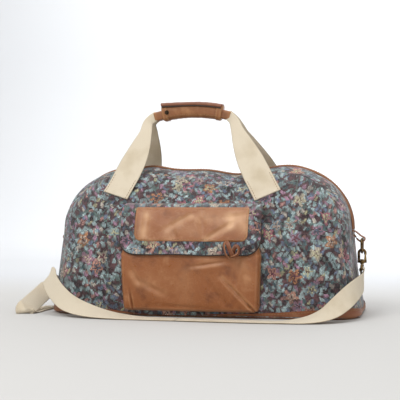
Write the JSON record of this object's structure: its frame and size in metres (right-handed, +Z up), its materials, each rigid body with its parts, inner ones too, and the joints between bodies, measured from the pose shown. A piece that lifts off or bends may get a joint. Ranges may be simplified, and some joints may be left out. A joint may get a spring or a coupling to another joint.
{
  "type": "carpet bag",
  "caption": "Dome-topped soft travel bag of floral tapestry with a leather base and flap pocket, webbing handles in a leather grip, and a shoulder strap on snap hooks.",
  "frame": {"origin": "centre of the underside of the leather base", "axes": "+X to the bag's right seen from the pocket side, +Y to the back, away from the pocket, +Z up"},
  "size_m": [0.596, 0.303, 0.3697],
  "materials": {
    "tapestry": "woven floral",
    "tan_leather": "waxed, worn",
    "cream_webbing": "flat woven",
    "dark_tape": "woven tape",
    "antique_brass": "antiqued"
  },
  "bodies": {
    "bag": {"front_panel": "tapestry", "back_panel": "tapestry", "left_end_panel": "tapestry", "right_end_panel": "tapestry", "front_crown_panel": "tapestry", "rear_crown_panel": "tapestry", "pocket_flap": "tapestry", "base_panel": "tan_leather", "pocket_pouch": "tan_leather", "flap_inlay": "tan_leather", "toggle_knot": "tan_leather", "front_zip_piping": "tan_leather", "rear_zip_piping": "tan_leather", "left_ring_tab": "tan_leather", "right_ring_tab": "tan_leather", "front_sleeve": "tan_leather", "rear_sleeve": "tan_leather", "grip_wrap": "tan_leather", "front_handle": "cream_webbing", "rear_handle": "cream_webbing", "shoulder_strap": "cream_webbing", "zip_tape": "dark_tape", "zip_chain": "antique_brass", "grip_stud": "antique_brass"},
    "zip_slider": {"zip_slider": "antique_brass"},
    "zip_pull": {"zip_pull": "antique_brass"},
    "left_ring": {"left_d_ring": "antique_brass", "left_swivel_eye": "antique_brass", "strap_slide": "antique_brass"},
    "right_ring": {"right_d_ring": "antique_brass", "right_swivel_eye": "antique_brass"},
    "left_hook": {"left_snap_hook": "antique_brass", "left_gate_pin": "antique_brass"},
    "right_hook": {"right_snap_hook": "antique_brass", "right_gate_pin": "antique_brass"},
    "left_gate": {"left_hook_gate": "antique_brass"},
    "right_gate": {"right_hook_gate": "antique_brass"}
  },
  "joints": [
    {"name": "left_ring_swing", "type": "hinge", "parent": "bag", "child": "left_ring", "pos_m": [-0.266, 0, 0.128], "axis": [0, 1, 0], "range_deg": [0, 80], "deforming": ["shoulder_strap"]},
    {"name": "left_hook_swivel", "type": "hinge", "parent": "left_ring", "child": "left_hook", "pos_m": [-0.266, 0, 0.09], "axis": [0, 0, 1], "range_deg": [-25, 25]},
    {"name": "left_gate", "type": "hinge", "parent": "left_hook", "child": "left_gate", "pos_m": [-0.2715, 0, 0.0941], "axis": [0, 1, 0], "range_deg": [0, 30], "stiffness_Nm_per_rad": 0.004},
    {"name": "right_ring_swing", "type": "hinge", "parent": "bag", "child": "right_ring", "pos_m": [0.266, 0, 0.128], "axis": [0, -1, 0], "range_deg": [0, 80], "deforming": ["shoulder_strap"]},
    {"name": "right_hook_swivel", "type": "hinge", "parent": "right_ring", "child": "right_hook", "pos_m": [0.266, 0, 0.09], "axis": [0, 0, 1], "range_deg": [-25, 25]},
    {"name": "right_gate", "type": "hinge", "parent": "right_hook", "child": "right_gate", "pos_m": [0.2715, 0, 0.0941], "axis": [0, -1, 0], "range_deg": [0, 30], "stiffness_Nm_per_rad": 0.004},
    {"name": "zip_slider_travel", "type": "hinge", "parent": "bag", "child": "zip_slider", "pos_m": [-0.145, 0, 0.145], "axis": [0, 1, 0], "range_deg": [0, 60]},
    {"name": "zip_pull_swing", "type": "hinge", "parent": "zip_slider", "child": "zip_pull", "pos_m": [-0.2438, 0, 0.19753], "axis": [0, 1, 0], "range_deg": [0, 150]}
  ]
}
